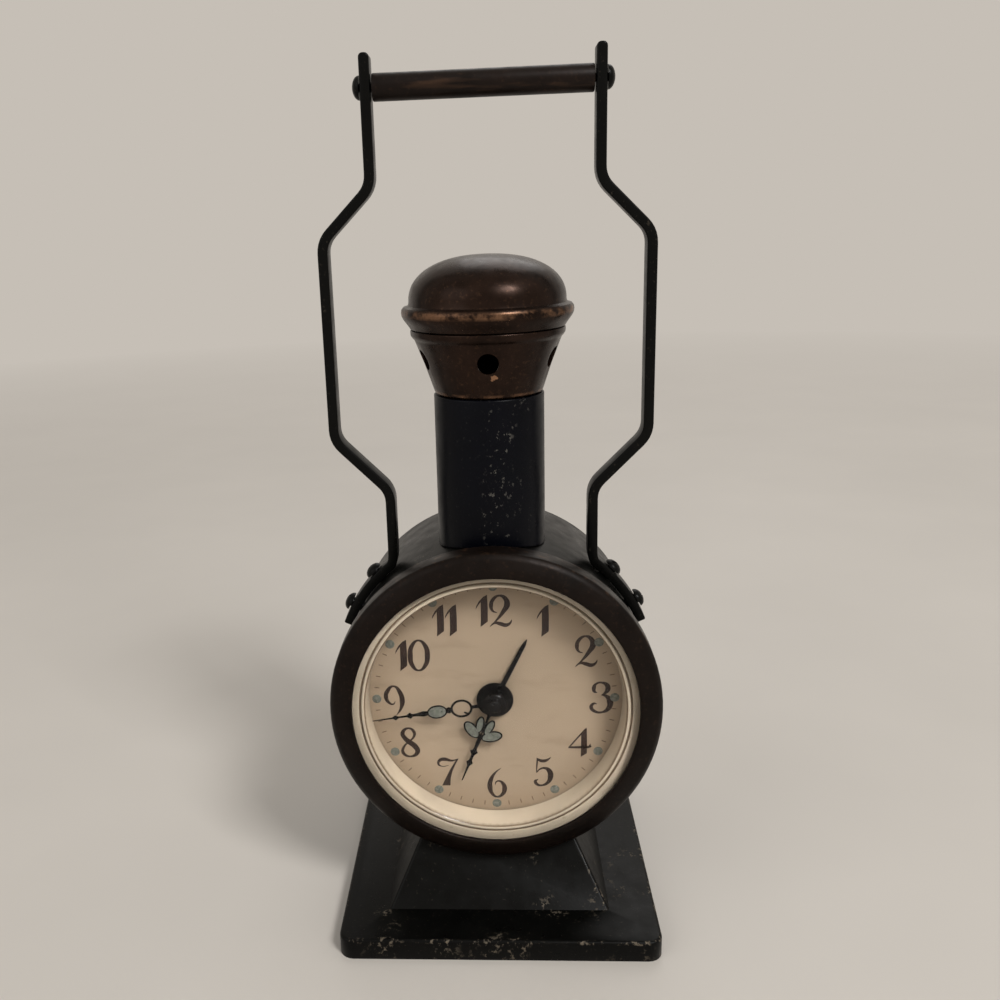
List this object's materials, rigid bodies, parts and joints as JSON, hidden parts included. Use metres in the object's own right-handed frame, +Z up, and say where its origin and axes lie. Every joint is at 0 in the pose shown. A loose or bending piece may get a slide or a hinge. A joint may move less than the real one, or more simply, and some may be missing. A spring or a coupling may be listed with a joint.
{
  "type": "novelty alarm clock",
  "caption": "Wind-up alarm clock shaped like a railway signal lamp: round dial in a drum on a square base, chimney with a vented cap, and a tall bail handle.",
  "frame": {"origin": "middle of the base's underside, on the surface it stands on", "axes": "+Z up, the dial faces -Y, +X to the viewer's right"},
  "size_m": [0.076, 0.0744, 0.1983],
  "materials": {
    "black_paint": "dark grey-black gloss paint, worn",
    "navy_paint": "blue-black gloss paint, chipped",
    "bronze_paint": "dark bronze-brown lacquer",
    "copper_paint": "brown copper lacquer, rubbed bright on the bead",
    "grip_brown": "dark brown paint",
    "cream_enamel": "aged cream enamel",
    "printed_dial": "cream dial with printed numerals",
    "clear_glass": "clear domed crystal",
    "hand_black": "blackened metal",
    "brass": "plain brass",
    "steel": "plain steel",
    "felt": "dark felt"
  },
  "bodies": {
    "case": {"base_shell": "black_paint", "drum_case": "black_paint", "bail_strap_left": "black_paint", "bail_strap_right": "black_paint", "grip_pin_left": "black_paint", "grip_pin_right": "black_paint", "strap_screw_left_1": "black_paint", "strap_screw_left_2": "black_paint", "strap_screw_right_1": "black_paint", "strap_screw_right_2": "black_paint", "chimney_tube": "navy_paint", "front_bezel": "bronze_paint", "vent_cowl": "copper_paint", "cap_dome": "copper_paint", "grip_rod": "grip_brown", "dial_rim": "cream_enamel", "dial_plate": "printed_dial", "crystal_lens": "clear_glass", "rear_cover": "brass", "front_plate": "brass", "rear_plate": "brass", "base_bolt": "steel", "base_nut": "steel", "chimney_tie_rod": "steel", "chimney_nut": "steel", "plate_pillar_1": "steel", "plate_pillar_2": "steel", "plate_pillar_3": "steel", "rear_cover_screw_1": "steel", "rear_cover_screw_2": "steel", "rear_cover_screw_3": "steel", "base_felt_pad": "felt"},
    "minute_motion": {"centre_arbor": "steel", "minute_hand": "hand_black", "hand_boss": "hand_black", "time_setting_knob": "brass"},
    "minute_wheel": {"minute_wheel": "brass"},
    "hour_motion": {"hour_wheel": "brass", "hour_hand": "hand_black"},
    "alarm_setting": {"alarm_setting_arbor": "steel", "alarm_setting_knob": "brass"},
    "alarm_indicator": {"alarm_wheel": "brass", "alarm_hand": "hand_black"},
    "time_winding": {"time_winding_key": "brass", "time_winding_arbor": "steel"},
    "time_barrel": {"time_barrel": "brass"},
    "alarm_winding": {"alarm_winding_key": "brass", "alarm_winding_arbor": "steel"},
    "alarm_barrel": {"alarm_barrel": "brass"},
    "centre_wheel": {"centre_wheel": "brass"},
    "third_wheel": {"third_wheel": "brass"},
    "fourth_wheel": {"fourth_wheel": "brass"},
    "escape_wheel": {"escape_wheel": "brass"},
    "pallet_lever": {"pallet_lever": "steel"},
    "balance_wheel": {"balance_wheel": "brass"},
    "alarm_star_wheel": {"alarm_star_wheel": "brass"},
    "alarm_hammer": {"alarm_hammer": "steel"},
    "regulator_lever": {"regulator_lever": "steel"},
    "alarm_stop_button": {"alarm_stop_button": "brass"}
  },
  "joints": [
    {"name": "minute_hand_turn", "type": "hinge", "parent": "case", "child": "minute_motion", "pos_m": [0, -0.0193, 0.0557], "axis": [0, 1, 0], "continuous": true},
    {"name": "minute_wheel_turn", "type": "hinge", "parent": "case", "child": "minute_wheel", "pos_m": [-0.0043, -0.0103, 0.06184], "axis": [0, 1, 0], "continuous": true},
    {"name": "hour_hand_turn", "type": "hinge", "parent": "case", "child": "hour_motion", "pos_m": [0, -0.0183, 0.0557], "axis": [0, 1, 0], "continuous": true},
    {"name": "alarm_setting_turn", "type": "hinge", "parent": "case", "child": "alarm_setting", "pos_m": [0.01128, 0.023, 0.0598], "axis": [0, 1, 0], "continuous": true},
    {"name": "alarm_hand_turn", "type": "hinge", "parent": "case", "child": "alarm_indicator", "pos_m": [0, -0.0173, 0.0557], "axis": [0, 1, 0], "continuous": true},
    {"name": "time_winding_turn", "type": "hinge", "parent": "case", "child": "time_winding", "pos_m": [-0.01018, 0.023, 0.04552], "axis": [0, 1, 0], "range_deg": [0, 1800]},
    {"name": "alarm_winding_turn", "type": "hinge", "parent": "case", "child": "alarm_winding", "pos_m": [0.01295, 0.023, 0.0432], "axis": [0, 1, 0], "range_deg": [0, 1800]},
    {"name": "escape_wheel_turn", "type": "hinge", "parent": "case", "child": "escape_wheel", "pos_m": [0.00023, 0.003, 0.06996], "axis": [0, 1, 0], "continuous": true},
    {"name": "fourth_wheel_turn", "type": "hinge", "parent": "case", "child": "fourth_wheel", "pos_m": [-0.00757, 0, 0.06858], "axis": [0, 1, 0], "continuous": true},
    {"name": "third_wheel_turn", "type": "hinge", "parent": "case", "child": "third_wheel", "pos_m": [-0.01083, -0.004, 0.05964], "axis": [0, 1, 0], "continuous": true},
    {"name": "centre_wheel_turn", "type": "hinge", "parent": "case", "child": "centre_wheel", "pos_m": [0, -0.006, 0.0557], "axis": [0, 1, 0], "continuous": true},
    {"name": "time_barrel_turn", "type": "hinge", "parent": "case", "child": "time_barrel", "pos_m": [-0.01018, 0.005, 0.04552], "axis": [0, 1, 0], "continuous": true},
    {"name": "balance_swing", "type": "hinge", "parent": "case", "child": "balance_wheel", "pos_m": [0.01173, 0.006, 0.07853], "axis": [0, 1, 0], "range_deg": [-24, 24], "stiffness_Nm_per_rad": 0.000003},
    {"name": "pallet_swing", "type": "hinge", "parent": "case", "child": "pallet_lever", "pos_m": [0.0048, 0.004, 0.07453], "axis": [0, 1, 0], "range_deg": [-6, 6]},
    {"name": "alarm_star_turn", "type": "hinge", "parent": "case", "child": "alarm_star_wheel", "pos_m": [0.01855, 0, 0.05289], "axis": [0, 1, 0], "continuous": true},
    {"name": "alarm_barrel_turn", "type": "hinge", "parent": "case", "child": "alarm_barrel", "pos_m": [0.01295, 0.005, 0.0432], "axis": [0, 1, 0], "continuous": true},
    {"name": "alarm_hammer_swing", "type": "hinge", "parent": "case", "child": "alarm_hammer", "pos_m": [0.01964, 0.005, 0.0591], "axis": [0, 1, 0], "range_deg": [-6, 6]},
    {"name": "regulator_turn", "type": "hinge", "parent": "case", "child": "regulator_lever", "pos_m": [0.01173, 0.011, 0.07853], "axis": [0, 1, 0], "range_deg": [-20, 20]},
    {"name": "alarm_stop_slide", "type": "slide", "parent": "case", "child": "alarm_stop_button", "axis": [0, -1, 0], "range_m": [0, 0.003]}
  ],
  "couplings": [
    {"joint": "minute_wheel_turn", "follows": "minute_hand_turn", "ratio": -0.33333},
    {"joint": "hour_hand_turn", "follows": "minute_hand_turn", "ratio": 0.083333},
    {"joint": "alarm_hand_turn", "follows": "alarm_setting_turn", "ratio": -0.25},
    {"joint": "fourth_wheel_turn", "follows": "escape_wheel_turn", "ratio": -0.125},
    {"joint": "third_wheel_turn", "follows": "escape_wheel_turn", "ratio": 0.016667},
    {"joint": "centre_wheel_turn", "follows": "escape_wheel_turn", "ratio": -0.0022222},
    {"joint": "time_barrel_turn", "follows": "escape_wheel_turn", "ratio": 0.00044444},
    {"joint": "pallet_swing", "follows": "balance_swing", "ratio": -0.25},
    {"joint": "alarm_barrel_turn", "follows": "alarm_star_turn", "ratio": -0.16667}
  ]
}
